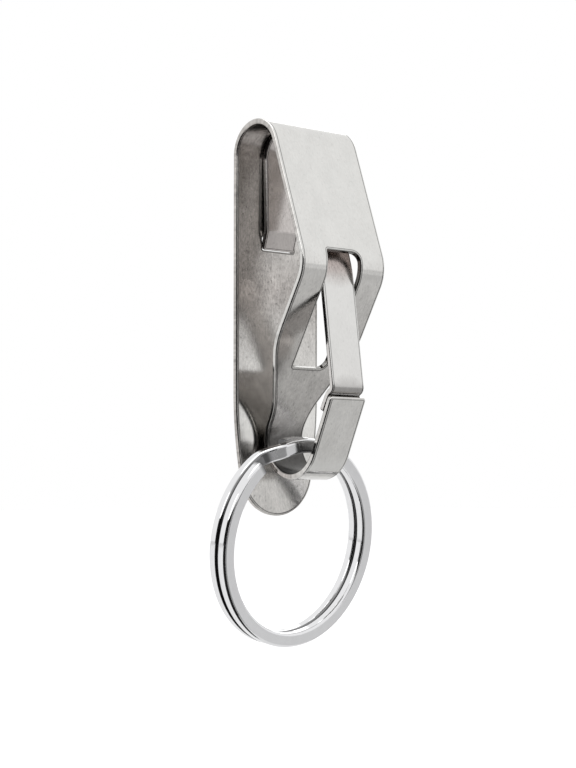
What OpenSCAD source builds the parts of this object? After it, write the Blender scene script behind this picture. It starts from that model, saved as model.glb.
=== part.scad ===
// Belt key clip: a bent steel clip that slides over a belt, a leaf spring whose lower
// end closes the clip's hook as a gate, and a split ring for keys that hangs in the hook.
// The origin is where the belt's upper edge rests: in the middle of the width, on the
// front face of the back plate, at the top of the space under the bow. Up is +Z, the
// front is -Y. In the side view, places are given as a distance forward of the back
// plate's front face and a height.

/* [Clip body] */
// Thickness of the body's sheet
sheet_t = 0.9; // [0.7:0.05:1.2]
// Width of the body
body_w = 16.8; // [13:0.2:22]
// Inside radius of the bow over the belt
bow_r = 4.3; // [3.5:0.1:5.4]
// Length of the front plate from the bow to the crease, on its outer face
front_l = 21.1; // [17:0.1:27]
// Lean of the front plate, forward going down
front_lean = 19.1; // [15:0.1:23]
// Lean of the sloping plate below the crease, back going down
slope_lean = 30.5; // [25:0.1:37]
// Inside radius of the crease between the front plate and the sloping plate
crease_r = 5.2; // [4:0.1:6.3]

/* [Back plate] */
// How much the back plate narrows on each side above its round end
plate_taper = 1.2; // [0.8:0.1:1.7]
// Height of the narrowing part above the centre of the round end
taper_h = 12; // [9:0.5:15]
// How far the back plate reaches below the hook
plate_below = 5.6; // [4.2:0.1:7]
// Width of the gap that the belt passes between the hook and the back plate
entry_gap = 0.85; // [0.6:0.05:1.1]

/* [Hook] */
// Width of the hook and its lip
hook_w = 7.2; // [6:0.1:9]
// Inside radius of the hook
hook_r = 5.2; // [4.8:0.1:6.3]
// Lean of the lip, forward going up
lip_lean = 24.4; // [18:0.1:28]
// Length of the lip above the hook's bend
lip_l = 9.5; // [8:0.1:11.5]
// Radius of the lip's upper corners
lip_corner_r = 0.6; // [0.3:0.1:1.2]
// Height above the hook's centre at which the body has narrowed to the hook's width
neck_rise = 2.5; // [1.8:0.1:3.3]
// Lean of the body's edges where they narrow towards the hook
neck_lean = 26; // [22:1:31]
// Radius at both ends of the narrowing edges
neck_r = 9; // [6:0.5:11]

/* [Window] */
// Length of the window above the crease, along the front plate
window_up = 2.8; // [2.2:0.1:3.5]
// Length of the window below the crease, along the sloping plate
window_down = 17.2; // [14:0.1:20.5]
// Radius of the window's corners on the left
window_left_r = 0.3; // [0.2:0.1:1.5]
// Radius of the window's corners on the right
window_right_r = 1.5; // [0.3:0.1:1.8]
// Gap on each side between the gate and the window
window_clear = 0.15; // [0.1:0.05:0.3]

/* [Leaf spring] */
// Thickness of the leaf spring
leaf_t = 0.8; // [0.6:0.05:1]
// Width of the leaf spring
leaf_w = 6.4; // [5:0.1:7]
// Gap between the leaf spring and the body round the bow
leaf_clear = 0.1; // [0.05:0.05:0.2]
// Lean of the leaf behind the front plate, forward going down
leaf_lean = 16; // [14:0.1:17.5]
// Length of the leaf's rear leg, from the bow to the knee
leg_l = 10.9; // [9:0.1:13.2]
// Lean of the leaf's rear leg, forward going down
leg_lean = 1.3; // [0:0.1:2]
// Inside radius of the knee
knee_r = 1; // [0.8:0.1:1.5]
// Lean of the leaf's tip, back going down
tip_lean = 17.5; // [14:0.5:21]
// Length of the leaf's tip below the knee
tip_l = 2.8; // [2.3:0.1:3.4]
// Radius of the tip's corners
tip_corner_r = 0.45; // [0.2:0.05:1]
// Gap round the leaf's tip in the slot of the back plate
slot_clear = 0.15; // [0.15:0.05:0.5]
// Radius of the slot's corners
slot_corner_r = 0.3; // [0.2:0.1:0.4]

/* [Gate] */
// Height above the window at which the gate flexes
flex_above = 1; // [0.6:0.1:1.6]
// Inside radius of the soft bend at the top of the gate
gate_top_r = 15; // [12:0.5:18]
// Inside radius of the bend above the lip
gate_bend_r = 0.4; // [0.3:0.05:0.45]
// Lean of the ramp behind the lip, back going down
ramp_lean = 62; // [58:1:64]
// Length of the ramp from the bend to its steeper lower part, on its front face
ramp_l = 1.25; // [1.2:0.05:1.6]
// Lean of the ramp's lower part, back going down
tail_lean = 28; // [26:0.5:32]
// Inside radius of the curve between the ramp and its lower part
tail_r = 1; // [0.6:0.1:1.2]
// Length of the ramp's lower part, on its front face
tail_l = 2.9; // [2.2:0.1:4.5]
// Gap between the ramp and the lip at rest
gate_clear = 0.15; // [0.1:0.05:0.25]

/* [Split ring] */
// Outside diameter of the ring
ring_d = 32; // [26:0.5:39]
// Width of the ring's flat wire, across the ring
wire_w = 2.2; // [1.8:0.1:2.5]
// Thickness of the ring's flat wire
wire_t = 1.74; // [1.4:0.02:2]
// Radius of the wire's edges
wire_edge_r = 0.5; // [0.3:0.05:0.65]
// Gap between the two turns of the wire
turn_gap = 0.06; // [0.04:0.01:0.1]
// Angle round the ring in which the wire steps from one turn to the other
step_angle = 17; // [14:1:24]
// Angle between the step and each end of the wire
end_angle = 4; // [3:0.5:8]
// Place of the step round the ring, counted from its right side
step_at = 117; // [105:1:355]
// Place of the ring that lies in the hook, counted from its right side
hang_at = 80.4; // [74:0.1:96]
// Lean of the ring, forward going up
ring_lean = 8.3; // [0:0.1:12]
// Turn of the ring about the upright
ring_turn = 4.4; // [0:0.1:8]
// Direction from the hook's centre to the ring's wire, below the level
seat_angle = 30; // [26:1:40]
// Gap between the hook and the ring as it swings
ring_clear = 0.36; // [0.3:0.02:0.6]

/* [Hidden] */
$fn = 96;
// Largest turn from one point of a round outline to the next
arc_step = 4;
// How far a cut runs past the sheet that it goes through
overrun = 1;
// How far beside the sides of the lip the arcs of its corners start, so that the cuts cross
lip_corner_room = 0.02;

// Directions in the side view are counted from straight forward
down = -90;
up = 90;
function ahead(a) = [cos(a), sin(a)];
function left(a) = [-sin(a), cos(a)];

// Side view of a strip of sheet. Each leg is a straight run, a turn to the left and the
// inner radius of that bend. The path of a face lies at an offset to the left of the
// strip's right face, and the strip's end is a place and a direction on its right face
function pivot(leg, t) = leg[1] < 0 ? -leg[2] : t + leg[2];
function bend_centre(leg, t, at, dir) = at + leg[0] * ahead(dir) + pivot(leg, t) * left(dir);
function next_at(leg, t, at, dir) = bend_centre(leg, t, at, dir) - pivot(leg, t) * left(dir + leg[1]);
function bend_steps(leg) = leg[1] == 0 ? 0 : ceil(abs(leg[1]) / arc_step);
function bend_path(leg, t, offset, at, dir) =
    let (n = bend_steps(leg), centre = bend_centre(leg, t, at, dir))
    [for (k = [0 : n]) centre + (offset - pivot(leg, t)) * left(dir + (n == 0 ? 0 : leg[1] * k / n))];
function face_path(legs, t, offset, at, dir, i = 0) =
    i == len(legs) ? [] : concat(
        i == 0 ? [at + offset * left(dir)] : [],
        bend_path(legs[i], t, offset, at, dir),
        face_path(legs, t, offset, next_at(legs[i], t, at, dir), dir + legs[i][1], i + 1));
function strip_end(legs, t, at, dir, i = 0) =
    i == len(legs) ? [at, dir] : strip_end(legs, t, next_at(legs[i], t, at, dir), dir + legs[i][1], i + 1);
function backwards(p) = [for (i = [len(p) - 1 : -1 : 0]) p[i]];
function strip_side(legs, t, at, dir) =
    concat(face_path(legs, t, 0, at, dir), backwards(face_path(legs, t, t, at, dir)));

// Outlines with round corners: each point is a place across, a place along and a radius
function unit(v) = v / norm(v);
function turn_between(a, b) = b - a > 180 ? b - a - 360 : b - a < -180 ? b - a + 360 : b - a;
function arc(centre, r, from, turn) =
    let (n = ceil(abs(turn) / arc_step))
    [for (k = [0 : n]) centre + r * ahead(from + turn * k / n)];
function corner(before, at, after, r) =
    let (u = unit(before - at), v = unit(after - at), half = acos(u * v) / 2)
    let (centre = at + unit(u + v) * r / sin(half))
    let (first = at + u * r / tan(half) - centre, last = at + v * r / tan(half) - centre)
    let (from = atan2(first[1], first[0]))
    arc(centre, r, from, turn_between(from, atan2(last[1], last[0])));
function flat(p) = [p[0], p[1]];
function rounded(p) =
    let (n = len(p))
    [for (i = [0 : n - 1])
        let (before = flat(p[(i + n - 1) % n]), after = flat(p[(i + 1) % n]), r = p[i][2])
        each r == 0 ? [flat(p[i])] : corner(before, flat(p[i]), after, r)];

// Bow: its centre in the side view
leaf_bow_r = bow_r - leaf_clear - leaf_t;
bow_at = [bow_r, -leaf_bow_r];

// Crease: how far the bend reaches from the sharp corner of the outer faces, that corner,
// and the place behind it on the sloping plate's inner face
crease_turn = front_lean + slope_lean;
crease_reach = (crease_r + sheet_t) * tan(crease_turn / 2);
crease_at = bow_at + (bow_r + sheet_t) * ahead(front_lean) + front_l * ahead(down + front_lean);
crease_in_at = crease_at - sheet_t * ahead(-slope_lean);

// Hook: the sloping plate ends where it brings the hook to its distance from the back plate
hook_turn = 180 + slope_lean - lip_lean;
hook_s = entry_gap + hook_r + sheet_t;
slope_l = (crease_at[0] + hook_r * cos(slope_lean) - hook_s) / sin(slope_lean);
hook_at = crease_at + slope_l * ahead(down - slope_lean) + hook_r * ahead(-slope_lean);

// Lip: the upper edge of its outer face, and that of its inner face
lip_at = hook_at + (hook_r + sheet_t) * ahead(-lip_lean) + lip_l * ahead(up - lip_lean);
lip_in_at = lip_at - sheet_t * ahead(-lip_lean);

// Neck: the sharp corners of the body's outline, below and above, the height at which it
// starts, and a distance just in front of the sloping plate there
neck_low_z = hook_at[1] + neck_rise + neck_r * tan(neck_lean / 2);
neck_high_z = neck_low_z + (body_w - hook_w) / 2 / tan(neck_lean);
neck_top_z = neck_high_z + neck_r * tan(neck_lean / 2);
neck_front_s = crease_at[0] - (crease_at[1] - neck_top_z) * tan(slope_lean) + overrun / 4;

// Back plate: its round end, and the large arcs of its sides that end tangent to it
plate_z = hook_at[1] - hook_r - sheet_t - plate_below;
nose_r = body_w / 2 - plate_taper;
nose_z = plate_z + nose_r;
taper_z = nose_z + taper_h;
side_r = (pow(taper_h, 2) + pow(body_w / 2, 2) - pow(nose_r, 2)) / 2 / plate_taper;
side_turn = asin(taper_h / (side_r - nose_r));

// Body: the legs of its strip, from the lower end of the back plate to the lip
body_legs = [
    [bow_at[1] - plate_z, front_lean - 180, bow_r],
    [front_l - crease_reach, -crease_turn, crease_r],
    [slope_l - crease_reach, hook_turn, hook_r],
    [lip_l, 0, 0]
];

// Leaf: where its outer face leaves the bow, and the corner at the top of the gate
window_w = leaf_w + 2 * window_clear;
window_top_z = crease_at[1] + window_up * cos(front_lean);
leaf_at = bow_at + (leaf_bow_r + leaf_t) * ahead(leaf_lean);
leaf_l = (leaf_at[1] - crease_at[1]) / cos(leaf_lean);
gate_top_at = leaf_at + leaf_l * ahead(down + leaf_lean);

// Flex line: its distance along the leaf, and its place on the outer and the rear face
flex_l = (leaf_at[1] - window_top_z - flex_above) / cos(leaf_lean);
flex_out_at = leaf_at + flex_l * ahead(down + leaf_lean);
flex_at = flex_out_at - leaf_t * ahead(leaf_lean);
leaf_legs = [
    [flex_l, 180 - leaf_lean + leg_lean, leaf_bow_r],
    [leg_l, -leg_lean - tip_lean, knee_r],
    [tip_l, 0, 0]
];
tip_end = strip_end(leaf_legs, leaf_t, flex_out_at, up + leaf_lean);

// Slot for the leaf's tip: from where the rear of the tip enters the back plate to its end
tip_at = tip_end[0];
slot_w = leaf_w + 2 * slot_clear;
slot_top_z = tip_at[1] - tip_at[0] / tan(tip_lean) + slot_clear;
slot_low_z = tip_at[1] - leaf_t * sin(tip_lean) - slot_clear;

// Gate: the corner above the lip, where the ramp starts, and its legs down to the ramp's end
gate_at = lip_at + [0, (gate_clear + (lip_in_at - lip_at) * left(up - ramp_lean)) / sin(ramp_lean)];
gate_lean = atan2(gate_at[0] - gate_top_at[0], gate_top_at[1] - gate_at[1]);
gate_l = norm(gate_at - gate_top_at);
gate_top_reach = (gate_top_r + leaf_t) * tan((leaf_lean - gate_lean) / 2);
gate_reach = (gate_bend_r + leaf_t) * tan((gate_lean + ramp_lean) / 2);
tail_reach = tail_r * tan((ramp_lean - tail_lean) / 2);
gate_legs = [
    [leaf_l - flex_l - gate_top_reach, gate_lean - leaf_lean, gate_top_r],
    [gate_l - gate_top_reach - gate_reach, -gate_lean - ramp_lean, gate_bend_r],
    [ramp_l - gate_reach - tail_reach, ramp_lean - tail_lean, tail_r],
    [tail_l - tail_reach, 0, 0]
];
tail_end = strip_end(gate_legs, leaf_t, flex_at, down + leaf_lean);

// Ring: its sizes, the middle of its wire in the hook, and its centre
ring_t = 2 * wire_t + turn_gap;
wire_path_r = (ring_d - wire_w) / 2;
seat_at = hook_at + (hook_r - norm([ring_t / 2, wire_w]) - ring_clear) * ahead(-seat_angle);
ring_across = [cos(ring_turn), sin(ring_turn), 0];
ring_up = [sin(ring_turn) * sin(ring_lean), -cos(ring_turn) * sin(ring_lean), cos(ring_lean)];
ring_hang = cos(hang_at) * ring_across + sin(hang_at) * ring_up;
ring_centre = [0, -seat_at[0], seat_at[1]] - wire_path_r * ring_hang;
step_lean = atan((wire_t + turn_gap) / 2 / (wire_path_r * sin(step_angle / 2)));

// Colours of the sheet, the leaf and the bright ring
steel = [0.72, 0.71, 0.69];
spring_steel = [0.66, 0.65, 0.63];
bright_steel = [0.85, 0.86, 0.88];

// Carries a side view across the object's width, in the middle of it
module across(w) {
    rotate([90, 0, -90]) linear_extrude(w, center = true) children();
}

// A bent strip of sheet
module strip(legs, t, w, at, dir) {
    across(w) polygon(strip_side(legs, t, at, dir));
}

// Cuts from the front through everything between two distances forward of the back plate
module cut_between(rear, front) {
    translate([0, -rear, 0]) rotate([90, 0, 0]) linear_extrude(front - rear) children();
}

// Cuts square through a sheet: its right face starts at a place in the side view and runs
// in a direction there, which is the outline's first axis; its second points to the left
module cut_square(at, dir, t) {
    translate([0, -at[0], at[1]]) rotate([0, down, 0]) rotate([0, 0, dir - up])
        translate([0, t + overrun, 0]) rotate([90, 0, 0]) linear_extrude(t + 2 * overrun) children();
}

// What is cut off the end of a strip to round its corners
module corner_waste(w, r) {
    difference() {
        translate([-r, -w / 2 - overrun]) square([r + overrun, w + 2 * overrun]);
        polygon(rounded([[-2 * r, -w / 2, 0], [0, -w / 2, r], [0, w / 2, r], [-2 * r, w / 2, 0]]));
    }
}

// What is cut off the sides of the back plate and round its end
module plate_waste() {
    a = body_w / 2;
    right_side = arc([a - side_r, taper_z], side_r, 0, -side_turn);
    nose = arc([0, nose_z], nose_r, -side_turn, 2 * side_turn - 180);
    left_side = arc([side_r - a, taper_z], side_r, 180 + side_turn, -side_turn);
    difference() {
        translate([-a - overrun, plate_z - overrun])
            square([2 * a + 2 * overrun, taper_z - plate_z + overrun]);
        polygon(concat(right_side, nose, left_side, [[-a, taper_z + overrun], [a, taper_z + overrun]]));
    }
}

// What is cut off the sides of the sloping plate and of the hook behind the lip
module neck_waste() {
    a = body_w / 2;
    b = hook_w / 2;
    low_z = plate_z - overrun;
    high_z = neck_top_z + overrun;
    difference() {
        translate([-a - overrun, low_z]) square([2 * a + 2 * overrun, neck_top_z - low_z]);
        polygon(rounded([
            [-b, low_z - overrun, 0], [b, low_z - overrun, 0],
            [b, neck_low_z, neck_r], [a, neck_high_z, neck_r],
            [a, high_z, 0], [-a, high_z, 0],
            [-a, neck_high_z, neck_r], [-b, neck_low_z, neck_r]
        ]));
    }
}

// What is cut off the sides of the lip
module lip_waste() {
    a = body_w / 2 + overrun;
    low_z = plate_z - overrun;
    h = lip_at[1] + overrun - low_z;
    for (left_x = [-a, hook_w / 2]) translate([left_x, low_z]) square([a - hook_w / 2, h]);
}

// Window on one side of the crease, from the crease to its rounded end
module window_outline(l) {
    a = window_w / 2;
    polygon(rounded([[0, -a, 0], [l, -a, window_right_r], [l, a, window_left_r], [0, a, 0]]));
}

module tip_slot() {
    a = slot_w / 2;
    r = slot_corner_r;
    polygon(rounded([[-a, slot_low_z, r], [a, slot_low_z, r], [a, slot_top_z, r], [-a, slot_top_z, r]]));
}

module clip_body() {
    color(steel) difference() {
        strip(body_legs, sheet_t, body_w, [0, plate_z], up);
        cut_between(-sheet_t - overrun, entry_gap / 2) plate_waste();
        cut_between(entry_gap / 2, neck_front_s) neck_waste();
        cut_between(hook_at[0], lip_at[0] + overrun) lip_waste();
        cut_between(-sheet_t - overrun, entry_gap / 2) tip_slot();
        cut_square(crease_at, up + front_lean, sheet_t) window_outline(window_up);
        cut_square(crease_in_at, down - slope_lean, sheet_t) window_outline(window_down);
        cut_square(lip_at, up - lip_lean, sheet_t)
            corner_waste(hook_w + lip_corner_room, lip_corner_r);
    }
}

module spring_leaf() {
    color(spring_steel) difference() {
        strip(leaf_legs, leaf_t, leaf_w, flex_out_at, up + leaf_lean);
        cut_square(tip_end[0], tip_end[1], leaf_t) corner_waste(leaf_w, tip_corner_r);
    }
}

module spring_gate() {
    color(spring_steel) difference() {
        strip(gate_legs, leaf_t, leaf_w, flex_at, down + leaf_lean);
        cut_square(tail_end[0], tail_end[1], leaf_t) corner_waste(leaf_w, tip_corner_r);
    }
}

// Section of the ring's wire: flat, with round edges
module wire_section(r) {
    for (side = [-1, 1], face = [-1, 1])
        translate([side * (wire_w / 2 - r), face * (wire_t / 2 - r)]) circle(r);
    square([wire_w - 2 * r, wire_t], center = true);
    square([wire_w, wire_t - 2 * r], center = true);
}

// A stretch of wire round the ring, from one angle to another
module wire(from, to) {
    rotate([0, 0, from]) rotate_extrude(angle = to - from, $fn = 180)
        translate([wire_path_r, 0]) wire_section(wire_edge_r);
}

module split_ring() {
    edge = step_angle / 2;
    layer = (wire_t + turn_gap) / 2;
    color(bright_steel) translate(ring_centre) rotate([ring_lean, 0, ring_turn]) rotate([90, 0, 0])
        rotate([0, 0, step_at]) {
            translate([0, 0, layer]) wire(edge + end_angle, 360 - edge);
            translate([0, 0, -layer]) wire(edge, 360 - edge - end_angle);
            intersection() {
                rotate([-step_lean, 0, 0]) wire(-edge - end_angle / 2, edge + end_angle / 2);
                translate([0, 0, -ring_t / 2]) cylinder(h = ring_t, d = ring_d + overrun, $fn = 180);
            }
        }
}

clip_body();
spring_leaf();
spring_gate();
split_ring();
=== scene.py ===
"""A belt key clip of bent satin steel, with its sprung leaf and gate and a bright split ring.

Lengths are millimetres until a mesh is made, which is in metres, and angles are degrees unless a
value says otherwise. The side view of a strip has two axes: the distance forward of the back
plate's front face, which is -Y, and the height. A flat sheet has two as well: the distance across
the clip, which is X, and the distance along the strip. A strip is drawn flat, given a rolled rim,
and then bent along its side view.
"""

import math

import bpy
import numpy as np
from mathutils import Matrix, Vector
from mathutils.geometry import delaunay_2d_cdt


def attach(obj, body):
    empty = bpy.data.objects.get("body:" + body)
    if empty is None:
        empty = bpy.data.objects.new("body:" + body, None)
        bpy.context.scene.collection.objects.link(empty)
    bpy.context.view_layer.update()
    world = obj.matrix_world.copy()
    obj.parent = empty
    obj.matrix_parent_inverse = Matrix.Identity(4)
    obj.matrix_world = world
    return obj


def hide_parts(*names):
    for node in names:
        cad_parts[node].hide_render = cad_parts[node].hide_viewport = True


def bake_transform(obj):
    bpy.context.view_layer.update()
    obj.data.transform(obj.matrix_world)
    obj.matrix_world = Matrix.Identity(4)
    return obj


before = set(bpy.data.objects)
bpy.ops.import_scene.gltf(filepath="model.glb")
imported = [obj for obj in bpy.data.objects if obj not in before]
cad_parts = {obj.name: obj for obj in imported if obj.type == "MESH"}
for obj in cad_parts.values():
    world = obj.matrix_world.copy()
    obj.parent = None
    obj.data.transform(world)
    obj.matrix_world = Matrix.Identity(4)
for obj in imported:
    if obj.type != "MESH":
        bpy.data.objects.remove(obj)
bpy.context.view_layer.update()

MM = 0.001
DOWN, UP = -90.0, 90.0

# Sizes of the clip's body, as in the part's source
SHEET_T = 0.9
BODY_W = 16.8
BOW_R = 4.3
FRONT_L = 21.1
FRONT_LEAN = 19.1
SLOPE_LEAN = 30.5
CREASE_R = 5.2
PLATE_TAPER = 1.2
TAPER_H = 12.0
PLATE_BELOW = 5.6
ENTRY_GAP = 0.85
HOOK_W = 7.2
HOOK_R = 5.2
LIP_LEAN = 24.4
LIP_L = 9.5
LIP_CORNER_R = 0.6
NECK_RISE = 2.5
NECK_LEAN = 26.0
NECK_R = 9.0
WINDOW_UP = 2.8
WINDOW_DOWN = 17.2
WINDOW_LEFT_R = 0.3
WINDOW_RIGHT_R = 1.5
WINDOW_CLEAR = 0.15

# Sizes of the leaf spring and of the gate that is its lower end. The ramp is the gate's short step
# over the lip's edge, and the tail its end behind the lip.
LEAF_T = 0.8
LEAF_W = 6.4
LEAF_CLEAR = 0.1
LEAF_LEAN = 16.0
LEG_L = 10.9
LEG_LEAN = 1.3
KNEE_R = 1.0
TIP_LEAN = 17.5
TIP_L = 2.8
TIP_CORNER_R = 0.45
SLOT_CLEAR = 0.15
SLOT_CORNER_R = 0.3
FLEX_ABOVE = 1.0
GATE_TOP_R = 15.0
GATE_BEND_R = 0.4
RAMP_LEAN = 62.0
RAMP_L = 1.25
TAIL_LEAN = 28.0
TAIL_R = 1.0
TAIL_L = 2.9
GATE_CLEAR = 0.15

# Sizes of the split ring
RING_D = 32.0
WIRE_W = 2.2
WIRE_T = 1.74
WIRE_EDGE_R = 0.5
TURN_GAP = 0.06
STEP_ANGLE = 17.0
END_ANGLE = 4.0
STEP_AT = 117.0
HANG_AT = 80.4
RING_LEAN = 8.3
RING_TURN = 4.4
SEAT_ANGLE = 30.0
RING_CLEAR = 0.36

# Forms that only show: the slot's gap at its sides and bottom, narrower than the real one so that
# it looks dark, the rims of the sheets, the groove beside a rim, and the ring's rounded wire ends
SLOT_GAP = 0.03
BODY_RIM_R = 0.24
WINDOW_RIM_R = 0.2
SLOT_RIM_R = 0.08
LEAF_RIM_R = 0.18
GROOVE_W = 0.22
BODY_GROOVE = 0.035
LEAF_GROOVE = 0.03
WIRE_END_R = 0.25

# Share of painted shade at the bottom of a groove, and of painted shade on the ring's wire where one
# turn faces the other, the length over which the painted shade at a cut end fades out, and the width
# that the wire's pattern has from one point of its section to the next
GROOVE_SHADE_SHARE = 0.88
FACING_SHADE_SHARE = 0.85
CUT_FADE = 0.7
SECTION_STEP = 0.2

# Fineness of the meshes: a bend's step in degrees, lengths along rims, runs and columns, the
# least distance from a rim to a point inside it, the points across a groove or a rim's corner,
# the wire's step in degrees, and the rows of points over its step from turn to turn
BEND_STEP = 3.0
RIM_STEP = 0.3
RUN_STEP = 2.0
COLUMN_STEP = 1.2
INNER_GAP = 0.35
RIM_POINTS = 7
WIRE_STEP = 1.5
STEP_ROWS = 25

# Camera: its place, its turn to the right and its rise in radians, and its focal length in
# pixels of a picture 576 wide and 768 high
CAMERA_AT = (-187.613, -218.242, -55.804)
CAMERA_TURN = 0.7156
CAMERA_RISE = 0.06
FOCAL_PX = 1837.79
PICTURE_H = 768

# The studio, in metres: height and half width of the floor, height of the cards that lie on it and
# the points along a card's edge, and what the lamps face
FLOOR_Z = -0.1
FLOOR_REACH = 4
CARD_Z = FLOOR_Z + 0.0005
CARD_POINTS = 12
LAMP_AIM = (0, 0, -0.035)


def ahead(degrees):
    """Unit vector of the side view at an angle from straight forward."""
    a = math.radians(degrees)
    return np.array([math.cos(a), math.sin(a)])


def left(degrees):
    """Unit vector a quarter turn to the left of an angle."""
    return ahead(degrees + 90.0)


def tan(degrees):
    """Tangent of an angle in degrees."""
    return math.tan(math.radians(degrees))


def in_space(side):
    """Place or direction in space of one in the side view, at the middle of the clip's width."""
    return np.array([0, -side[0], side[1]])


class BentStrip:
    """Side view of a strip of sheet, by the distance along its middle.

    Each leg is a straight run, a turn to the left in degrees and the inner radius of that bend.
    Along a run the middle goes straight on; along a bend it goes round an arc whose radius is
    the inner radius and half the thickness.
    """

    def __init__(self, legs, thickness, right_face, heading):
        self.thickness = thickness
        place = np.asarray(right_face, float) + thickness / 2 * left(heading)
        reached, pieces, rows = 0.0, [], []
        for run, turn, inner in legs:
            pieces.append((reached, *place, math.radians(heading), 0.0))
            rows.append(np.linspace(reached, reached + run, max(2, math.ceil(run / RUN_STEP) + 1)))
            place = place + run * ahead(heading)
            reached += run
            if turn:
                radius = inner + thickness / 2
                side = math.copysign(1.0, turn)
                pieces.append((reached, *place, math.radians(heading), side / radius))
                arc = radius * math.radians(abs(turn))
                steps = math.ceil(abs(turn) / BEND_STEP)
                rows.append(np.linspace(reached, reached + arc, steps + 1))
                centre = place + side * radius * left(heading)
                heading += turn
                place = centre - side * radius * left(heading)
                reached += arc
        self.start, self.forward, self.height, self.angle, self.curve = np.array(pieces).T
        self.length = reached
        self.marks = np.append(self.start, reached)
        self.end = place
        self.rows = np.unique(np.round(np.concatenate(rows), 6))

    def along(self, distance):
        """Middle of the strip and its angle at distances along it, all as arrays."""
        i = np.clip(np.searchsorted(self.start, distance, side="right") - 1, 0, len(self.start) - 1)
        gone = distance - self.start[i]
        first = self.angle[i]
        now = first + self.curve[i] * gone
        bent = self.curve[i] != 0
        radius = 1.0 / np.where(bent, self.curve[i], 1.0)
        forward = np.where(bent, radius * (np.sin(now) - np.sin(first)), gone * np.cos(first))
        height = np.where(bent, radius * (np.cos(first) - np.cos(now)), gone * np.sin(first))
        return self.forward[i] + forward, self.height[i] + height, now

    def bent(self, across, distance, above, normal):
        """Places and normals in space of points of the flat sheet.

        above is the height over the sheet's middle, to the left of the strip's direction. The
        normal's three parts are across the sheet, along it, and to the left of it.
        """
        forward, height, angle = self.along(distance)
        c, s = np.cos(angle), np.sin(angle)
        place = np.stack([across, -(forward - above * s), height + above * c], 1)
        turned = np.stack([
            normal[:, 0],
            -(normal[:, 1] * c - normal[:, 2] * s),
            normal[:, 1] * s + normal[:, 2] * c,
        ], 1)
        return place, turned


def rounded(corners, step=15.0):
    """Outline whose corners are arcs: each corner is a place across, a place along and a radius.

    The arc's centre lies on the corner's halving line, where it is a radius from both sides.
    """
    places = np.array([c[:2] for c in corners], float)
    out = []
    for i, (_, _, radius) in enumerate(corners):
        at = places[i]
        if radius == 0:
            out.append(at[None])
            continue
        u = places[i - 1] - at
        v = places[(i + 1) % len(corners)] - at
        u, v = u / np.linalg.norm(u), v / np.linalg.norm(v)
        half = math.acos(np.clip(u @ v, -1, 1)) / 2
        centre = at + (u + v) / np.linalg.norm(u + v) * radius / math.sin(half)
        first = at + u * radius / math.tan(half) - centre
        last = at + v * radius / math.tan(half) - centre
        a = math.atan2(first[1], first[0])
        turn = (math.atan2(last[1], last[0]) - a + math.pi) % (2 * math.pi) - math.pi
        angles = a + turn * np.linspace(0, 1, math.ceil(abs(math.degrees(turn)) / step) + 1)
        out.append(centre + radius * np.stack([np.cos(angles), np.sin(angles)], 1))
    return np.concatenate(out)


def arc(centre, radius, first, turn, step=3.0):
    """Points of an arc from a first angle through a turn, in degrees."""
    a = np.radians(first + turn * np.linspace(0, 1, math.ceil(abs(turn) / step) + 1))
    return np.asarray(centre) + radius * np.stack([np.cos(a), np.sin(a)], 1)


def divided(outline, step=RIM_STEP):
    """The same closed outline with its long edges divided evenly, and those of no length left out."""
    after = np.roll(outline, -1, 0)
    lengths = np.linalg.norm(after - outline, axis=1)
    outline, after, lengths = (a[lengths > 1e-6] for a in (outline, after, lengths))
    parts = np.maximum(1, np.ceil(lengths / step)).astype(int)
    edge = np.repeat(np.arange(len(outline)), parts)
    share = (np.arange(parts.sum()) - np.repeat(np.cumsum(parts) - parts, parts)) / parts[edge]
    return outline[edge] + (after - outline)[edge] * share[:, None]


def outward(outline):
    """Normals of a closed outline that has the sheet on its left: the mean of its two edges'."""
    edge = np.roll(outline, -1, 0) - outline
    edge /= np.linalg.norm(edge, axis=1)[:, None]
    right = np.stack([edge[:, 1], -edge[:, 0]], 1)
    mean = right + np.roll(right, 1, 0)
    return mean / np.linalg.norm(mean, axis=1)[:, None]


def rolled_rim(thickness, radius, groove):
    """Section of a rim from the left face round to the right one.

    Each row is an inset, a height over the middle, the normal's outward and upward parts, and
    how deep it lies in the groove. This fine groove, one wave of a cosine deep, sets the rim off
    from the face. The rim's corners are quarter circles.
    """
    half = thickness / 2
    wave = np.linspace(1, 0, RIM_POINTS)
    dip = groove * (1 - np.cos(2 * np.pi * wave)) / 2
    slope = groove * np.pi / GROOVE_W * np.sin(2 * np.pi * wave)
    face = np.stack([radius + GROOVE_W * wave, half - dip, -slope, np.ones(RIM_POINTS), dip / groove], 1)
    turn = np.radians(np.linspace(0, 90, RIM_POINTS))[1:]
    c, s = np.cos(turn), np.sin(turn)
    corner = np.stack([radius * (1 - s), half - radius * (1 - c), s, c, 0 * c], 1)
    top = np.concatenate([face, corner])
    top[:, 2:4] /= np.linalg.norm(top[:, 2:4], axis=1)[:, None]
    return np.concatenate([top, top[::-1] * [1, -1, 1, -1, 1]])


def carried_round(outline, rim):
    """A rim's section carried round a closed outline of the flat sheet.

    Row k of the points is the outline moved inward by the section's kth inset. Their three
    parts are across the sheet, along it and over its middle, and so are their normals'.
    """
    inset, above, out, over, _ = rim.T[:, :, None, None]
    away = outward(outline)
    every = np.ones((len(rim), len(outline), 1))
    points = np.concatenate([outline - away * inset, above * every], 2)
    return points, np.concatenate([away * out, over * every], 2)


def quads_round(rows, columns, first=0):
    """Quads of a grid of points whose rows close on themselves, from the number of its first."""
    i, j = np.meshgrid(first + np.arange(rows - 1) * columns, np.arange(columns), indexing="ij")
    k = (j + 1) % columns
    return np.stack([i + j, i + k, i + columns + k, i + columns + j], 2).reshape(-1, 4)


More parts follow.
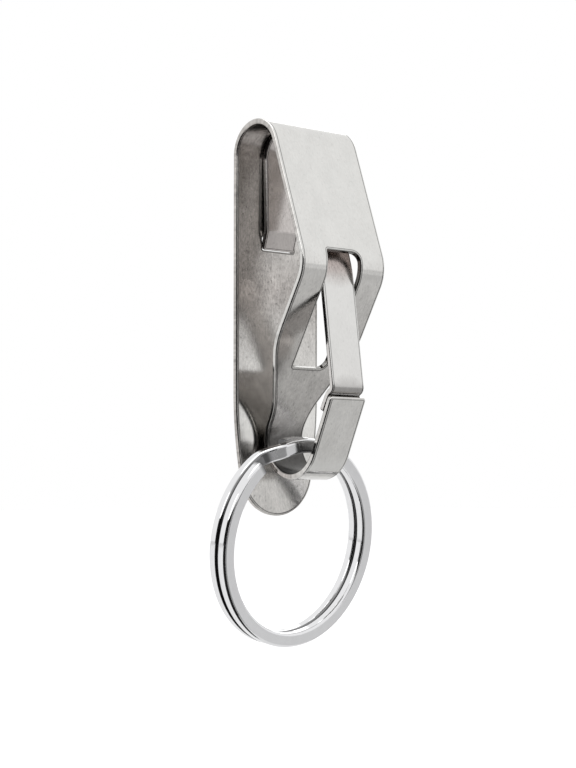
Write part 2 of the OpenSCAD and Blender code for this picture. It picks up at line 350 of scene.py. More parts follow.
def inside(points, outlines):
    """Whether points lie in the sheet: a ray across crosses its outlines an odd number of times."""
    odd = np.zeros(len(points), bool)
    for outline in outlines:
        a, b = outline, np.roll(outline, -1, 0)
        y = points[:, 1][:, None]
        spans = (a[:, 1] > y) != (b[:, 1] > y)
        rise = np.where(b[:, 1] == a[:, 1], 1.0, b[:, 1] - a[:, 1])
        x = a[:, 0] + (y - a[:, 1]) * (b[:, 0] - a[:, 0]) / rise
        odd ^= (np.sum(spans & (points[:, 0][:, None] < x), 1) % 2).astype(bool)
    return odd


def nearest(points, outlines):
    """Distance from each point to the nearest point of the outlines."""
    every = np.concatenate(outlines)
    return np.sqrt(np.min(np.sum((points[:, None] - every[None]) ** 2, 2), 1))


def filled(outlines, strip):
    """Points inside the rims' inner outlines, and the triangles of the flat face.

    The points stand in rows across the strip, close together along its bends. The triangles
    count the outlines' own points first.
    """
    every = np.concatenate(outlines)
    reach = np.abs(every[:, 0]).max()
    columns = np.arange(-math.floor(reach / COLUMN_STEP), reach / COLUMN_STEP) * COLUMN_STEP
    grid = np.stack(np.meshgrid(columns, strip.rows), 2).reshape(-1, 2)
    grid = grid[inside(grid, outlines)]
    grid = grid[nearest(grid, outlines) > INNER_GAP]
    points = np.concatenate([every, grid])
    edges, first = [], 0
    for outline in outlines:
        i = np.arange(len(outline))
        edges.append(np.stack([i, (i + 1) % len(outline)], 1) + first)
        first += len(outline)
    made = delaunay_2d_cdt([Vector(p) for p in points.tolist()],
                           np.concatenate(edges).tolist(), [], 0, 1e-7)
    source = np.array([ids[0] for ids in made[3]])
    triangles = source[np.array(made[2])]
    keep = inside(points[triangles].mean(1), outlines)
    triangles = triangles[keep]
    a, b, c = (points[triangles[:, k]] for k in range(3))
    area = (b - a)[:, 0] * (c - a)[:, 1] - (b - a)[:, 1] * (c - a)[:, 0]
    triangles[area < 0] = triangles[area < 0][:, ::-1]
    return grid, triangles[np.abs(area) > 1e-9]


def new_piece(name, places, faces, normals, patterns, shares):
    """A mesh object at the origin, in metres, shaded with the given normals.

    patterns holds the place across and along the sheet for the material's map, in millimetres.
    shares holds, by name, how much of a finish each point has, from 0 to 1.
    """
    mesh = bpy.data.meshes.new(name)
    mesh.from_pydata((places * MM).tolist(), [], faces)
    mesh.polygons.foreach_set("use_smooth", np.ones(len(mesh.polygons), bool))
    corner = np.zeros(len(mesh.loops), np.int32)
    mesh.loops.foreach_get("vertex_index", corner)
    flat = mesh.uv_layers.new(name="flat_sheet")
    flat.data.foreach_set("uv", patterns[corner].astype(np.float32).ravel())
    for share, values in shares.items():
        mesh.attributes.new(share, "FLOAT", "POINT").data.foreach_set("value", values.astype(np.float32))
    mesh.normals_split_custom_set_from_vertices(normals.tolist())
    mesh.update()
    piece = bpy.data.objects.new(name, mesh)
    bpy.context.collection.objects.link(piece)
    return piece


def facing_out(places, faces):
    """The same faces, turned round if their solid's volume comes out negative."""
    triangles = np.array([(f[0], f[k], f[k + 1]) for f in faces for k in range(1, len(f) - 1)])
    a, b, c = (places[triangles[:, k]] for k in range(3))
    if np.sum(a * np.cross(b, c)) < 0:
        faces = [f[::-1] for f in faces]
    return faces


def share_at(distance, pairs):
    """Share of a finish at distances along a sheet, from pairs of a distance and a share.

    The share changes evenly from one pair to the next.
    """
    return np.interp(distance, *np.array(pairs, float).T)


def face_shares(flat, left_pairs, right_pairs):
    """Share of a finish at points of a sheet whose left and right faces have their own pairs."""
    distance, above = flat[:, 1:].T
    return np.where(above > 0, share_at(distance, left_pairs), share_at(distance, right_pairs))


def sheet_piece(name, strip, outlines, groove, dull, painted_shade):
    """A bent sheet with a rolled rim round its outline and its openings.

    Each outline has the sheet on its left, and comes with its rim's radius and with the pairs
    that say how much shade is painted on its wall. The rim is carried round each outline, the two
    faces inside the rims are filled, and the whole is bent. The first list of pairs after the groove,
    for the left face, the right one and the rims, gives a dull, stained finish whose darker colour is
    also painted shade inside the clip and round the hook. The second, for the left face and the right
    one, gives painted shade, and so does the bottom of each rim's groove.
    """
    flat, normal, wall_shades, quads, upper, lower, inner = ([] for _ in range(7))
    count = 0
    for outline, radius, wall_shade_pairs in outlines:
        rim = rolled_rim(strip.thickness, radius, groove)
        outline = divided(outline)
        points, normals = carried_round(outline, rim)
        rows, columns = points.shape[:2]
        flat.append(points.reshape(-1, 3))
        normal.append(normals.reshape(-1, 3))
        # Painted shade on the wall, by its pairs, and at the bottom of the groove
        wall = np.outer(rim[:, 2], share_at(outline[:, 1], wall_shade_pairs))
        wall_shades.append(np.maximum(wall, GROOVE_SHADE_SHARE * rim[:, 4:]).ravel())
        quads.append(quads_round(rows, columns, count))
        inner.append(points[0, :, :2])
        upper.append(count + np.arange(columns))
        lower.append(upper[-1] + (rows - 1) * columns)
        count += rows * columns
    grid, triangles = filled(inner, strip)
    for side, face in ((1, upper), (-1, lower)):
        flat.append(np.column_stack([grid, np.full(len(grid), side * strip.thickness / 2)]))
        normal.append(np.tile([0.0, 0.0, side], (len(grid), 1)))
        wall_shades.append(np.zeros(len(grid)))
        face.append(count + np.arange(len(grid)))
        count += len(grid)
    flat, normal, wall_shades, quads, upper, lower = map(
        np.concatenate, (flat, normal, wall_shades, quads, upper, lower))
    places, turned = strip.bent(*flat.T, normal)
    faces = quads.tolist() + upper[triangles][:, ::-1].tolist() + lower[triangles].tolist()
    rim_share = 1 - np.abs(normal[:, 2]) / np.linalg.norm(normal, axis=1)
    face_dull_and_shade, rim_dull_and_shade = face_shares(flat, *dull[:2]), share_at(flat[:, 1], dull[2])
    shares = {
        "rim_share": rim_share,
        "dull_and_shade_share": face_dull_and_shade * (1 - rim_share) + rim_dull_and_shade * rim_share,
        "painted_shade_share": np.clip(face_shares(flat, *painted_shade) * (1 - rim_share) + wall_shades, 0, 1),
    }
    return new_piece(name, places, facing_out(places, faces), turned, flat[:, :2], shares)


# Side view of the body: bow, crease, hook and lip
leaf_bow_r = BOW_R - LEAF_CLEAR - LEAF_T
bow_at = np.array([BOW_R, -leaf_bow_r])
crease_turn = FRONT_LEAN + SLOPE_LEAN
crease_reach = (CREASE_R + SHEET_T) * tan(crease_turn / 2)
crease_at = bow_at + (BOW_R + SHEET_T) * ahead(FRONT_LEAN) + FRONT_L * ahead(DOWN + FRONT_LEAN)
hook_turn = 180 + SLOPE_LEAN - LIP_LEAN
hook_forward = ENTRY_GAP + HOOK_R + SHEET_T
slope_cos, slope_sin = ahead(SLOPE_LEAN)
slope_l = (crease_at[0] + HOOK_R * slope_cos - hook_forward) / slope_sin
hook_at = crease_at + slope_l * ahead(DOWN - SLOPE_LEAN) + HOOK_R * ahead(-SLOPE_LEAN)
lip_at = hook_at + (HOOK_R + SHEET_T) * ahead(-LIP_LEAN) + LIP_L * ahead(UP - LIP_LEAN)
lip_in_at = lip_at - SHEET_T * ahead(-LIP_LEAN)
plate_z = hook_at[1] - HOOK_R - SHEET_T - PLATE_BELOW
body_strip = BentStrip([
    (bow_at[1] - plate_z, FRONT_LEAN - 180, BOW_R),
    (FRONT_L - crease_reach, -crease_turn, CREASE_R),
    (slope_l - crease_reach, hook_turn, HOOK_R),
    (LIP_L, 0, 0),
], SHEET_T, (0, plate_z), UP)
foot, bow, front, crease, slope, hook, lip, lip_top = body_strip.marks

# Side view of the leaf, from its tip in the back plate round the bow and down to the gate's end
leaf_at = bow_at + (leaf_bow_r + LEAF_T) * ahead(LEAF_LEAN)
leaf_l = (leaf_at[1] - crease_at[1]) / ahead(LEAF_LEAN)[0]
gate_top_at = leaf_at + leaf_l * ahead(DOWN + LEAF_LEAN)
window_top_z = crease_at[1] + WINDOW_UP * ahead(FRONT_LEAN)[0]
flex_l = (leaf_at[1] - window_top_z - FLEX_ABOVE) / ahead(LEAF_LEAN)[0]
flex_at = leaf_at + flex_l * ahead(DOWN + LEAF_LEAN) - LEAF_T * ahead(LEAF_LEAN)
ramp_up = (lip_in_at - lip_at) @ left(UP - RAMP_LEAN)
gate_at = lip_at + np.array([0, (GATE_CLEAR + ramp_up) / ahead(RAMP_LEAN)[1]])
drop = gate_top_at - gate_at
gate_lean = math.degrees(math.atan2(-drop[0], drop[1]))
gate_top_reach = (GATE_TOP_R + LEAF_T) * tan((LEAF_LEAN - gate_lean) / 2)
gate_reach = (GATE_BEND_R + LEAF_T) * tan((gate_lean + RAMP_LEAN) / 2)
tail_reach = TAIL_R * tan((RAMP_LEAN - TAIL_LEAN) / 2)
outer_legs = [
    (flex_l, 180 - LEAF_LEAN + LEG_LEAN, leaf_bow_r),
    (LEG_L, -LEG_LEAN - TIP_LEAN, KNEE_R),
    (TIP_L, 0, 0),
]
tip_side = BentStrip(outer_legs, LEAF_T, flex_at + LEAF_T * ahead(LEAF_LEAN), UP + LEAF_LEAN)
tip_heading = UP + LEAF_LEAN + sum(leg[1] for leg in outer_legs)
tip_inner = tip_side.end + LEAF_T / 2 * left(tip_heading)
leaf_strip = BentStrip([
    (TIP_L, LEG_LEAN + TIP_LEAN, KNEE_R),
    (LEG_L, LEAF_LEAN - LEG_LEAN - 180, leaf_bow_r),
    (leaf_l - gate_top_reach, gate_lean - LEAF_LEAN, GATE_TOP_R),
    (np.linalg.norm(drop) - gate_top_reach - gate_reach, -gate_lean - RAMP_LEAN, GATE_BEND_R),
    (RAMP_L - gate_reach - tail_reach, RAMP_LEAN - TAIL_LEAN, TAIL_R),
    (TAIL_L - tail_reach, 0, 0),
], LEAF_T, tip_inner, tip_heading - 180)


def body_outline():
    """Outline of the flat body: round end, tapered sides, straight sides, neck, hook and lip.

    The sides of the back plate are large arcs that meet the round end without a corner. The
    neck is drawn by its heights on the sloping plate, which are then laid out along it. The
    first and last corners given for the neck and the lip only give a direction.
    """
    a, b = BODY_W / 2, HOOK_W / 2
    nose_r = a - PLATE_TAPER
    side_r = (TAPER_H ** 2 + a ** 2 - nose_r ** 2) / 2 / PLATE_TAPER
    side_turn = math.degrees(math.asin(TAPER_H / (side_r - nose_r)))
    taper = nose_r + TAPER_H
    left_side = arc((side_r - a, taper), side_r, 180, side_turn, 0.5)
    nose = arc((0, nose_r), nose_r, 180 + side_turn, 180 - 2 * side_turn)
    right_side = arc((a - side_r, taper), side_r, -side_turn, side_turn, 0.5)
    low = hook_at[1] + NECK_RISE + NECK_R * tan(NECK_LEAN / 2)
    high = low + (a - b) / tan(NECK_LEAN)
    neck = rounded([(a, high + 6, 0), (a, high, NECK_R), (b, low, NECK_R), (b, low - 3, 0)], 6)[1:-1]
    slope_z = body_strip.along(slope)[1]
    neck[:, 1] = slope + (slope_z - neck[:, 1]) / slope_cos
    top, r = lip_top, LIP_CORNER_R
    lip_end = rounded([(b, top - 3, 0), (b, top, r), (-b, top, r), (-b, top - 3, 0)])[1:-1]
    other_neck = (neck * [-1, 1])[::-1]
    return np.concatenate([left_side, nose[1:], right_side[1:], neck, lip_end, other_neck])


def window_outline():
    """The window, whose upper edge lies in the front plate and its lower one in the sloping one."""
    a = LEAF_W / 2 + WINDOW_CLEAR
    top = crease + crease_reach - WINDOW_UP
    low = slope + WINDOW_DOWN - crease_reach
    return rounded([(-a, top, WINDOW_LEFT_R), (-a, low, WINDOW_LEFT_R),
                    (a, low, WINDOW_RIGHT_R), (a, top, WINDOW_RIGHT_R)])


def slot_outline():
    """The slot in the back plate that the leaf's tip stands in, with a gap all round."""
    a, r = LEAF_W / 2 + SLOT_GAP, SLOT_CORNER_R
    outer = tip_side.end - LEAF_T / 2 * left(tip_heading)
    top = outer[1] - outer[0] / tan(TIP_LEAN) + SLOT_CLEAR - plate_z
    low = outer[1] - LEAF_T * ahead(TIP_LEAN)[1] - SLOT_GAP - plate_z
    return rounded([(-a, low, r), (-a, top, r), (a, top, r), (a, low, r)])


def leaf_outline():
    """The leaf's flat strip, with small round corners at both ends."""
    a, end, r = LEAF_W / 2, leaf_strip.length, TIP_CORNER_R
    return rounded([(-a, 0, r), (a, 0, r), (a, end, r), (-a, end, r)])


# Finish and painted shade of the body. Its left face is the rear of the back plate, the outside of
# the bow and of the front, and the inside of the hook. Its right face is the front of the back
# plate, the inside of the bow and of the front, and the outside of the hook and the lip, which is
# the front of the lip. The dull pairs give a dull, stained finish whose darker colour is also
# painted shade inside the clip and round the hook. The other pairs paint shade inside the hook
# and under it. Painted shade also lies on the walls of the slot and of the window, whose wall is
# darker in its upper half.
window = window_outline()
window_middle = window[:, 1].mean()
clip_piece = sheet_piece(
    "bent_clip_body", body_strip,
    [(body_outline(), BODY_RIM_R, [(foot, 0)]),
     (window, WINDOW_RIM_R, [(window_middle, 0.85), (window_middle + 0.1, 0.55)]),
     (slot_outline(), SLOT_RIM_R, [(foot, 1)])],
    BODY_GROOVE,
    # Dull, stained finish, whose darker colour is also painted shade inside the clip and round the hook
    dull=([(foot, 0.3), (bow, 0.2), (front, 0), (crease + 0.5, 0), (slope, 0.25), (hook, 0.5),
           (lip_top, 0.4)],
          [(foot, 0.4), (9, 0.34), (15, 0.06), (22, 0.3), (29, 0.45), (35, 0.85), (44, 0.5),
           (bow - 2, 0.5), (bow + 3, 1), (front, 0.85), (hook, 0.85), (lip - 4, 0.3), (lip - 2, 0),
           (lip, 0.15), (lip_top, 0.15)],
          [(foot, 0.7), (bow, 0.7), (front - 3, 0.6), (crease - 3, 0.6), (crease, 0.15), (slope, 0.1),
           (hook + 2, 0.25), (hook + 6, 1), (hook + 11, 0.9), (hook + 14, 0.4), (lip_top, 0.3)]),
    # Painted shade inside the hook and under it
    painted_shade=([(slope, 0), (hook - 1, 0.24), (hook + 3, 1), (lip, 1), (lip_top, 0.6)],
         [(slope, 0), (hook, 0.55), (hook + 6, 0.5), (hook + 9, 0), (lip_top, 0)]))

# Finish and painted shade of the leaf. Its left face has the front of the gate, which is polished,
# with painted shade at its top bend, where the window's top edge shades it, and on its end behind
# the lip. Its right one is the front of the leg and the rear of the gate, and is dull, with a little
# painted shade.
tip, _, leg, _, run, top_bend, _, low_bend, lip_step, *_ = leaf_strip.marks
leaf_piece = sheet_piece(
    "leaf_and_gate", leaf_strip, [(leaf_outline(), LEAF_RIM_R, [(tip, 0)])], LEAF_GROOVE,
    # Dull finish, and painted shade at the gate's top bend below the window's top edge
    dull=([(tip, 0.1), (leg, 0.2), (top_bend, 1), (top_bend + 1.5, 0.8), (top_bend + 3.5, 0),
           (low_bend - 0.5, 0.05), (lip_step, 0.3)],
          [(tip, 0.55), (lip_step, 0.5)], [(tip, 0.4), (lip_step, 0.3)]),
    # Painted shade on the gate's end behind the lip and on the right face
    painted_shade=([(low_bend - 0.5, 0), (low_bend + 0.4, 0.5), (lip_step + 0.4, 0.6)],
         [(run, 0), (top_bend, 0.2), (lip_step, 0.2)]))


def wire_section(count=10):
    """Section of the ring's wire, flat with round edges, as four quarter circles joined up.

    Each row is the distance out, the distance to the front, and the normal's two parts.
    """
    turn = np.radians(np.linspace(0, 90, count))
    c, s = np.cos(turn), np.sin(turn)
    r = WIRE_EDGE_R
    quarter = np.stack([WIRE_W / 2 - r + r * c, WIRE_T / 2 - r + r * s, c, s], 1)
    half = np.concatenate([quarter, quarter[::-1] * [-1, 1, -1, 1]])
    return np.concatenate([half, -half])


def ring_stance(path_r):
    """The hanging ring's centre and its own axes: to the right, up, and to the front.

    The ring leans forward and is turned a little. The middle of its wire lies on a seat in the
    hook, so the centre is the path's radius away from there.
    """
    lean_cos, lean_sin = ahead(RING_LEAN)
    turn_cos, turn_sin = ahead(RING_TURN)
    right = np.array([turn_cos, turn_sin, 0])
    upward = np.array([turn_sin * lean_sin, -turn_cos * lean_sin, lean_cos])
    reach = HOOK_R - math.hypot(WIRE_T + TURN_GAP / 2, WIRE_W) - RING_CLEAR
    seat = in_space(hook_at + reach * ahead(-SEAT_ANGLE))
    to_seat = ahead(HANG_AT) @ np.stack([right, upward])
    return seat - path_r * to_seat, np.stack([right, upward, np.cross(right, upward)])


def split_ring():
    """The wire's section carried twice round, stepping from the front turn to the rear one.

    The step is half a wave of a sine. At both ends the section shrinks round a quarter circle
    to a flat end face. Shade is painted on the wire at these cut ends and where its turns face each other.
    """
    section = wire_section()
    out, front, n_out, n_front = section.T
    path_r = (RING_D - WIRE_W) / 2
    edge = STEP_ANGLE / 2
    first, last = edge + END_ANGLE, 720 - edge - END_ANGLE
    q = np.radians(np.linspace(0, 90, 6))
    cap = np.degrees(WIRE_END_R * (1 - np.cos(q)) / path_r)
    middle = np.concatenate([
        np.arange(first + 2, 360 - edge, WIRE_STEP),
        np.linspace(360 - edge, 360 + edge, STEP_ROWS),
        np.arange(360 + edge + WIRE_STEP, last - 1, WIRE_STEP),
    ])
    around = np.concatenate([first + cap, middle, last - cap[::-1]])
    even = np.zeros(len(middle))
    shrink = WIRE_END_R * np.concatenate([1 - np.sin(q), even, 1 - np.sin(q[::-1])])[:, None]
    endward = np.concatenate([-np.cos(q), even, np.cos(q[::-1])])[:, None]

    layer = (WIRE_T + TURN_GAP) / 2
    step = np.clip((around - 360) / edge, -1, 1)[:, None] * math.pi / 2
    slope = -layer * np.cos(step) * math.pi / 2 / math.radians(edge) / path_r
    a = np.radians(around + STEP_AT)[:, None]
    radius = path_r + out - n_out * shrink
    forward = front - n_front * shrink - layer * np.sin(step)
    local = np.stack([radius * np.cos(a), radius * np.sin(a), forward], 2)
    sideways = 1 - np.abs(endward)
    n_along = endward - n_front * slope * sideways
    n_out, n_front = n_out * sideways, n_front * sideways
    normal = np.stack([n_out * np.cos(a) - n_along * np.sin(a),
                       n_out * np.sin(a) + n_along * np.cos(a), n_front], 2)
    normal /= np.linalg.norm(normal, axis=2)[..., None]

    rows, columns = local.shape[:2]
    ends = [list(range(columns))[::-1], list(range((rows - 1) * columns, rows * columns))]
    centre, axes = ring_stance(path_r)
    places = centre + local.reshape(-1, 3) @ axes
    patterns = np.stack([np.tile(np.arange(columns) * SECTION_STEP, rows),
                         np.repeat(np.radians(around) * path_r, columns)], 1)

    # Painted shade at the cut ends, and from where the wire's corners turn towards the other turn
    from_end = np.minimum(around - first, last - around) * math.radians(path_r)
    cut = np.clip(1.2 - from_end / CUT_FADE, 0, 1)[:, None]
    facing_shade = np.clip(section[:, 3] * np.sin(step) / 0.4 - 0.75, 0, FACING_SHADE_SHARE)
    shares = {
        "flat_share": np.tile(np.abs(section[:, 3]) ** 8, rows),
        "painted_shade_share": np.maximum(cut, facing_shade).ravel(),
    }
    faces = facing_out(places, quads_round(rows, columns).tolist() + ends)
    return new_piece("split_ring_wire", places, faces, normal.reshape(-1, 3) @ axes, patterns, shares)


ring_piece = split_ring()


def wired(tree, kind, settings, inputs):
    """A new node with its settings, whose inputs are given values or the sockets that feed them."""
    made = tree.nodes.new("ShaderNode" + kind)
    for key, value in settings.items():
        setattr(made, key, value)
    for key, value in inputs.items():
        if isinstance(value, bpy.types.NodeSocket):
            tree.links.new(value, made.inputs[key])
        else:
            made.inputs[key].default_value = value
    return made


def computed(tree, operation, a, b=0.0, c=0.0):
    """The value of a Math node."""
    return wired(tree, "Math", {"operation": operation}, {0: a, 1: b, 2: c}).outputs[0]


def new_group(name, inputs, outputs):
    """A node group, its inner inputs and its output node. Sockets are given by name and type."""
    group = bpy.data.node_groups.new(name, "ShaderNodeTree")
    for socket, kind in inputs:
        group.interface.new_socket(socket, in_out="INPUT", socket_type="NodeSocket" + kind)
    for socket, kind in outputs:
        group.interface.new_socket(socket, in_out="OUTPUT", socket_type="NodeSocket" + kind)
    return group, group.nodes.new("NodeGroupInput").outputs, group.nodes.new("NodeGroupOutput").inputs


def stretched(tree, sheet, size, stretch):
    """A place on the sheet counted in a pattern's size, with the pattern drawn out lengthwise."""
    count = wired(tree, "VectorMath", {"operation": "SCALE"},
                  {0: sheet, "Scale": computed(tree, "DIVIDE", 1.0, size)}).outputs[0]
    return wired(tree, "VectorMath", {"operation": "MULTIPLY"}, {0: count, 1: (1, stretch, 1)}).outputs[0]


def steel_mottling():
    """Stains and grain of dull steel: wide soft patches, short grain along the sheet, dark specks.

    Patch and Grain are sizes in millimetres. Shade is 1 where the steel is plain and goes down
    with Depth. Height is the grain's.
    """
    group, given, out = new_group(
        "steel_mottling",
        [("Sheet", "Vector"), ("Patch", "Float"), ("Grain", "Float"), ("Depth", "Float")],
        [("Shade", "Float"), ("Height", "Float")])

    def noise(size, stretch, detail):
        pattern = stretched(group, given["Sheet"], size, stretch)
        return wired(group, "TexNoise", {}, {
            "Vector": pattern, "Scale": 1.0, "Detail": detail, "Roughness": 0.6}).outputs["Fac"]

    patches = noise(given["Patch"], 0.6, 3.0)
    grain = noise(given["Grain"], 0.45, 3.0)
    specks = wired(group, "MapRange", {}, {
        "Value": noise(computed(group, "MULTIPLY", given["Grain"], 1.9), 0.8, 1.0),
        "From Min": 0.62, "From Max": 0.74}).outputs[0]
    dark = computed(group, "MULTIPLY_ADD", patches, 0.9, computed(group, "MULTIPLY", grain, 1.1))
    dark = computed(group, "MULTIPLY_ADD", specks, 0.35, computed(group, "SUBTRACT", dark, 1.0))
    shade = computed(group, "SUBTRACT", 1.0, computed(group, "MULTIPLY", dark, given["Depth"]))
    group.links.new(shade, out["Shade"])
    group.links.new(grain, out["Height"])
    return group


def hairlines():
    """Fine scratches of use: thin noise stretched along one way, cut down to its highest parts."""
    group, given, out = new_group(
        "hairlines", [("Sheet", "Vector"), ("Width", "Float"), ("Angle", "Float")], [("Mark", "Float")])
    turned = wired(group, "VectorRotate", {"rotation_type": "Z_AXIS"},
                   {"Vector": given["Sheet"], "Angle": given["Angle"]}).outputs[0]
    pattern = stretched(group, turned, given["Width"], 0.02)
    lines = wired(group, "TexNoise", {}, {"Vector": pattern, "Scale": 1.0, "Detail": 2.0}).outputs["Fac"]
    mark = wired(group, "MapRange", {}, {"Value": lines, "From Min": 0.6, "From Max": 0.8}).outputs[0]
    group.links.new(mark, out["Mark"])
    return group


mottling, scratches = steel_mottling(), hairlines()


def principled(name):
    """A new material, its node tree, and its Principled shader."""
    material = bpy.data.materials.new(name)
    material.use_nodes = True
    tree = material.node_tree
    return material, tree, tree.nodes["Principled BSDF"]


def share_of(tree, name):
    """The share of a finish that each point of the piece has."""
    return wired(tree, "Attribute", {"attribute_name": name}, {}).outputs["Fac"]


def grouped(tree, group, inputs):
    """The outputs of a node group placed in a material."""
    return wired(tree, "Group", {"node_tree": group}, inputs).outputs


def mixed(tree, factor, a, b):
    """A value between two, by a factor."""
    return wired(tree, "Mix", {"data_type": "FLOAT"}, {"Factor": factor, "A": a, "B": b}).outputs[0]


def darkened(tree, colour, shade):
    """A colour scaled by the stains' shade, and far down where shade is painted."""
    painted_shade = computed(tree, "MULTIPLY_ADD", share_of(tree, "painted_shade_share"), -0.85, 1.0)
    scale = computed(tree, "MULTIPLY", shade, painted_shade)
    return wired(tree, "VectorMath", {"operation": "SCALE"}, {0: colour, "Scale": scale}).outputs[0]


def sheet_steel(name, bright, dull, smooth, rough, depth):
    """Sheet steel that goes from bright and smooth to stained, dull and rough by its dull share.

    depth is how deep the stains are where it is dull. The dull colour is darker, and also stands in
    for painted shade where the dull share lies inside the clip and round the hook. The rims are smooth
    throughout.
    """
    material, tree, shader = principled(name)
    sheet = wired(tree, "UVMap", {"uv_map": "flat_sheet"}, {}).outputs[0]
    dull_and_shade, rim = share_of(tree, "dull_and_shade_share"), share_of(tree, "rim_share")
    stain = grouped(tree, mottling, {
        "Sheet": sheet, "Patch": 2.6, "Grain": 0.3,
        "Depth": mixed(tree, dull_and_shade, depth * 0.13, depth)})
    lines = grouped(tree, scratches, {"Sheet": sheet, "Width": 0.11, "Angle": 0.12})["Mark"]
    colour = wired(tree, "Mix", {"data_type": "RGBA"},
                   {"Factor": dull_and_shade, "A": (*bright, 1), "B": (*dull, 1)}).outputs[2]
    tree.links.new(darkened(tree, colour, stain["Shade"]), shader.inputs["Base Color"])
    even = mixed(tree, dull_and_shade, smooth, rough)
    worn = computed(tree, "MULTIPLY_ADD", lines, 0.06, even)
    tree.links.new(mixed(tree, rim, worn, smooth * 0.8), shader.inputs["Roughness"])
    height = computed(tree, "MULTIPLY", stain["Height"], mixed(tree, dull_and_shade, 0.1, 1.0))
    bump = wired(tree, "Bump", {}, {"Strength": 0.25, "Distance": 0.00002, "Height": height})
    tree.links.new(bump.outputs[0], shader.inputs["Normal"])
    shader.inputs["Metallic"].default_value = 1.0
    return material


def bright_wire(name, colour, smooth, rough):
    """Nickelled spring wire: a mirror on its sides and edges, faintly satin on its flat faces."""
    material, tree, shader = principled(name)
    sheet = wired(tree, "UVMap", {"uv_map": "flat_sheet"}, {}).outputs[0]
    flat = share_of(tree, "flat_share")
    stain = grouped(tree, mottling, {"Sheet": sheet, "Patch": 5.0, "Grain": 0.5, "Depth": 0.08})
    lines = grouped(tree, scratches, {"Sheet": sheet, "Width": 0.08, "Angle": 0.0})["Mark"]
    tree.links.new(darkened(tree, colour, stain["Shade"]), shader.inputs["Base Color"])
    worn = computed(tree, "MULTIPLY_ADD", lines, 0.04, mixed(tree, flat, smooth, rough))
    tree.links.new(worn, shader.inputs["Roughness"])
    shader.inputs["Metallic"].default_value = 1.0
    return material


# Bright and dull colours of each steel; the dull one is also painted shade where the dull share is high
clip_steel = sheet_steel("satin_clip_steel", (0.715, 0.71, 0.69), (0.385, 0.355, 0.335), 0.12, 0.26, 1.4)
leaf_steel = sheet_steel("satin_leaf_steel", (0.71, 0.705, 0.69), (0.42, 0.365, 0.345), 0.1, 0.2, 0.9)
ring_steel = bright_wire("bright_ring_steel", (0.8, 0.8, 0.81), 0.05, 0.16)
clip_piece.data.materials.append(clip_steel)
leaf_piece.data.materials.append(leaf_steel)
ring_piece.data.materials.append(ring_steel)

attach(clip_piece, "clip")
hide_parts("clip_body")
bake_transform(leaf_piece)
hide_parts("spring_leaf", "spring_gate")
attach(ring_piece, "ring")
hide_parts("split_ring")


def place_camera():
    """The camera at the photograph's viewing angle."""
    forward = np.array([math.sin(CAMERA_TURN) * math.cos(CAMERA_RISE),
                        math.cos(CAMERA_TURN) * math.cos(CAMERA_RISE), math.sin(CAMERA_RISE)])
    right = np.array([math.cos(CAMERA_TURN), -math.sin(CAMERA_TURN), 0.0])
    up = np.cross(right, forward)
    data = bpy.data.cameras.new("front_left_view")
    data.sensor_width = 36.0
    data.lens = FOCAL_PX * data.sensor_width / PICTURE_H
    data.clip_start, data.clip_end = 0.01, 20.0
    camera = bpy.data.objects.new("front_left_view", data)
    place = Matrix(np.stack([right, up, -forward], 1).tolist()).to_4x4()
    place.translation = Vector(CAMERA_AT) * MM
    camera.matrix_world = place
    bpy.context.collection.objects.link(camera)
    bpy.context.scene.camera = camera


place_camera()


def soft_lamp(name, place, size, brightness):
    """A rectangular lamp that faces the clip; its power is its brightness times pi times its area."""
    data = bpy.data.lights.new(name, "AREA")
    data.shape = "RECTANGLE"
    data.size, data.size_y = size
    data.energy = brightness * math.pi * size[0] * size[1]
    lamp = bpy.data.objects.new(name, data)
    lamp.location = place
    lamp.rotation_mode = "QUATERNION"
    lamp.rotation_quaternion = (Vector(LAMP_AIM) - Vector(place)).to_track_quat("-Z", "Y")
    bpy.context.collection.objects.link(lamp)


soft_lamp("overhead_lamp", (-0.1, 0.05, 0.6), (0.5, 0.4), 1.5)
soft_lamp("left_lamp", (-0.62, 0.1, 0.2), (0.3, 0.5), 1.4)
soft_lamp("rear_right_lamp", (0.573, 0.358, 0.36), (0.5, 0.25), 1.25)


def fan(first, last, distance, z):
    """Points in an arc round the object, from one compass angle to another, all in metres.

    An angle of 0 is to the rear and 90 to the right.
    """
    a = np.radians(np.linspace(first, last, CARD_POINTS))
    return np.stack([distance * np.sin(a), distance * np.cos(a), np.full(CARD_POINTS, z)], 1)


def reflected_card(name, one_edge, other_edge, grey):
    """A card of one grey between two arcs of points.

    Only shiny metal sees it, as a photographer's card out of view shapes reflections.
    """
    mesh = bpy.data.meshes.new(name)
    n = CARD_POINTS
    mesh.from_pydata(np.concatenate([one_edge, other_edge]).tolist(), [],
                     [(i, i + 1, i + 1 + n, i + n) for i in range(n - 1)])
    card = bpy.data.objects.new(name, mesh)
    bpy.context.collection.objects.link(card)
    material, tree, shader = principled(name + "_cloth")
    shader.inputs["Base Color"].default_value = (grey, grey, grey, 1)
    shader.inputs["Roughness"].default_value = 1.0
    shader.inputs["Specular IOR Level"].default_value = 0.0
    mesh.materials.append(material)
    card.visible_camera = card.visible_diffuse = card.visible_shadow = False


def standing_card(name, first, last, distance, low_z, high_z, grey):
    """A card that stands in an arc round the object."""
    reflected_card(name, fan(first, last, distance, low_z), fan(first, last, distance, high_z), grey)


def lying_card(name, first, last, near, far, grey):
    """A card on the floor, between two arcs."""
    reflected_card(name, fan(first, last, near, CARD_Z), fan(first, last, far, CARD_Z), grey)


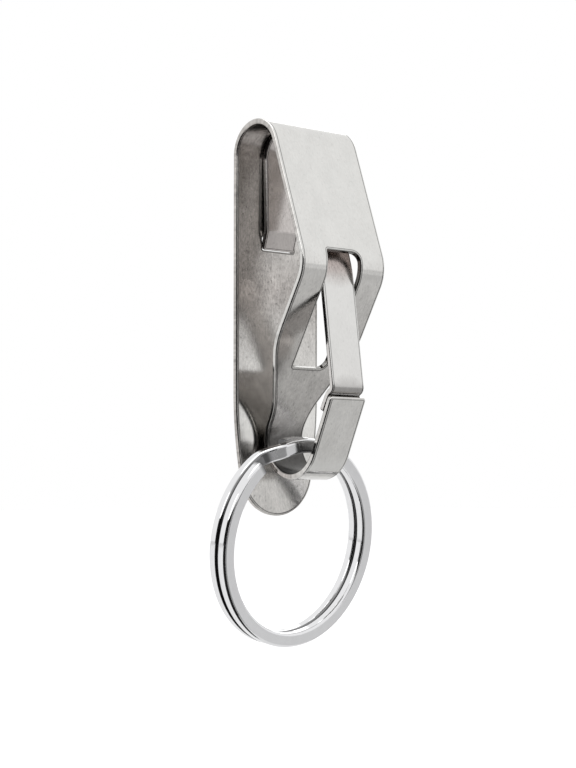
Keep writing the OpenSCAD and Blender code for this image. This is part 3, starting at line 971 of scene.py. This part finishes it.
standing_card("dark_card_at_camera", -156, -62, 0.45, CARD_Z, 0.08, 0.015)
lying_card("dark_card_before_camera", -160, -80, 0.004, 0.45, 0.02)
standing_card("grey_card_in_front", 160, 204, 0.46, -0.09, 0.05, 0.35)
lying_card("grey_card_on_floor_in_front", 160, 198, 0.03, 0.44, 0.35)
lying_card("light_card_on_floor", 60, 159, 0.034, 0.44, 0.82)


def seen_rays(tree):
    """Whether a ray comes from the camera, and whether from a reflection or through glass."""
    ray = tree.nodes.new("ShaderNodeLightPath").outputs
    other = computed(tree, "MAXIMUM", ray["Is Glossy Ray"], ray["Is Transmission Ray"])
    return ray["Is Camera Ray"], other


def studio_world():
    """Even pale light all round, and plain white where it is seen, also in metal."""
    world = bpy.data.worlds.new("pale_studio")
    world.use_nodes = True
    bpy.context.scene.world = world
    tree = world.node_tree
    pale = tree.nodes["Background"]
    pale.inputs["Color"].default_value = (0.62, 0.62, 0.62, 1)
    white = wired(tree, "Background", {}, {"Color": (1, 1, 1, 1)})
    seen = computed(tree, "MAXIMUM", *seen_rays(tree))
    mix = wired(tree, "MixShader", {}, {0: seen, 1: pale.outputs[0], 2: white.outputs[0]})
    tree.links.new(mix.outputs[0], tree.nodes["World Output"].inputs["Surface"])


def pale_floor():
    """A plain floor, lifted to white where it is seen."""
    mesh = bpy.data.meshes.new("studio_floor")
    r = FLOOR_REACH
    mesh.from_pydata([(x, y, FLOOR_Z) for x, y in ((-r, -r), (r, -r), (r, r), (-r, r))], [], [(0, 1, 2, 3)])
    floor = bpy.data.objects.new("studio_floor", mesh)
    bpy.context.collection.objects.link(floor)
    material, tree, shader = principled("pale_floor_paint")
    shader.inputs["Base Color"].default_value = (0.93, 0.93, 0.93, 1)
    shader.inputs["Roughness"].default_value = 0.9
    camera, through = seen_rays(tree)
    strength = computed(tree, "MULTIPLY_ADD", camera, 0.5, computed(tree, "MULTIPLY", through, 0.12))
    shader.inputs["Emission Color"].default_value = (1, 1, 1, 1)
    tree.links.new(strength, shader.inputs["Emission Strength"])
    mesh.materials.append(material)


studio_world()
pale_floor()
bpy.context.scene.view_settings.view_transform = "Standard"
